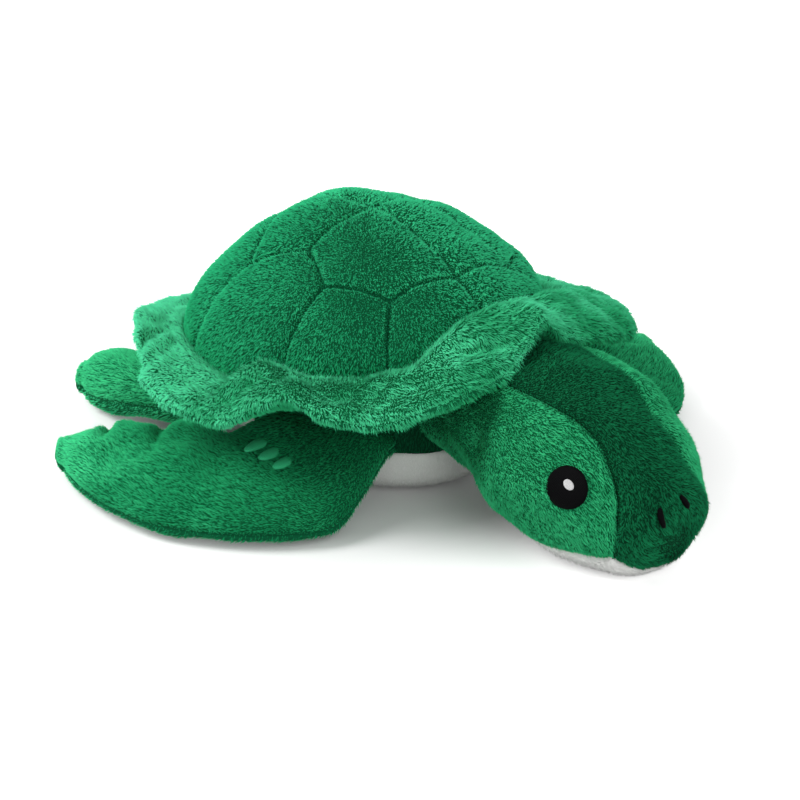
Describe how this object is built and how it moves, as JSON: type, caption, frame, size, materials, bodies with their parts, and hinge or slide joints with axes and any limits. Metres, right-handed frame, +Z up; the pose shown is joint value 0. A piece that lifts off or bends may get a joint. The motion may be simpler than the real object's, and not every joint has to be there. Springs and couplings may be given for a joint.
{
  "type": "plush sea turtle",
  "caption": "Stuffed sea turtle lying on its belly, with a quilted domed shell, a wavy padded ruffle round it, paddle flippers and a head with embroidered eyes.",
  "frame": {"origin": "middle of the flat under the belly, on the surface the toy lies on", "axes": "+Z up out of the shell, head towards -Y, tail end towards +Y, the turtle's left side towards +X"},
  "size_m": [0.3109, 0.33, 0.1183],
  "materials": {
    "shell_plush": "short napped plush, quilted",
    "green_plush": "pile plush, 2 to 3 mm",
    "white_plush": "short white plush",
    "fibre_fill": "loose fibre stuffing",
    "white_thread": "satin stitch",
    "black_thread": "satin stitch",
    "green_thread": "satin stitch"
  },
  "bodies": {
    "torso": {"carapace_cover": "shell_plush", "carapace_fill": "fibre_fill", "shell_base_panel": "green_plush", "shell_rim": "green_plush", "belly_panel": "white_plush", "body_band": "green_plush", "body_fill": "fibre_fill"},
    "neck": {"neck_cover": "green_plush", "neck_fill": "fibre_fill"},
    "head": {"chin_panel": "white_plush", "head_crown_panel": "green_plush", "head_side_right": "green_plush", "head_side_left": "green_plush", "head_fill": "fibre_fill", "eye_right": "black_thread", "eye_left": "black_thread", "eye_glint_right": "white_thread", "eye_glint_left": "white_thread", "nostril_right": "black_thread", "nostril_left": "black_thread"},
    "front_flipper_right": {"front_flipper_right_upper_panel": "green_plush", "front_flipper_right_lower_panel": "green_plush", "front_flipper_right_fill": "fibre_fill", "flipper_spot_1": "green_thread", "flipper_spot_2": "green_thread", "flipper_spot_3": "green_thread"},
    "front_flipper_left": {"front_flipper_left_upper_panel": "green_plush", "front_flipper_left_lower_panel": "green_plush", "front_flipper_left_fill": "fibre_fill"},
    "rear_flipper_right": {"rear_flipper_right_upper_panel": "green_plush", "rear_flipper_right_lower_panel": "green_plush", "rear_flipper_right_fill": "fibre_fill"},
    "rear_flipper_left": {"rear_flipper_left_upper_panel": "green_plush", "rear_flipper_left_lower_panel": "green_plush", "rear_flipper_left_fill": "fibre_fill"}
  },
  "joints": [
    {"name": "neck_turn", "type": "hinge", "parent": "torso", "child": "neck", "pos_m": [0, -0.066, 0.039], "axis": [0, 0, 1], "range_deg": [-12, 12]},
    {"name": "head_nod", "type": "hinge", "parent": "neck", "child": "head", "pos_m": [-0.00612, -0.10957, 0.046], "axis": [0.9903, -0.1392, 0], "range_deg": [-8, 8]},
    {"name": "front_flap_right", "type": "hinge", "parent": "torso", "child": "front_flipper_right", "pos_m": [-0.0487, -0.0246, 0.0285], "axis": [-0.2873, 0.9578, 0], "range_deg": [0, 20]},
    {"name": "front_flap_left", "type": "hinge", "parent": "torso", "child": "front_flipper_left", "pos_m": [0.0487, -0.0246, 0.0285], "axis": [-0.2873, -0.9578, 0], "range_deg": [0, 20]},
    {"name": "rear_flap_right", "type": "hinge", "parent": "torso", "child": "rear_flipper_right", "pos_m": [-0.034, 0.056, 0.024], "axis": [0.7834, 0.6215, 0], "range_deg": [0, 10]},
    {"name": "rear_flap_left", "type": "hinge", "parent": "torso", "child": "rear_flipper_left", "pos_m": [0.034, 0.056, 0.024], "axis": [0.7834, -0.6215, 0], "range_deg": [0, 10]}
  ]
}
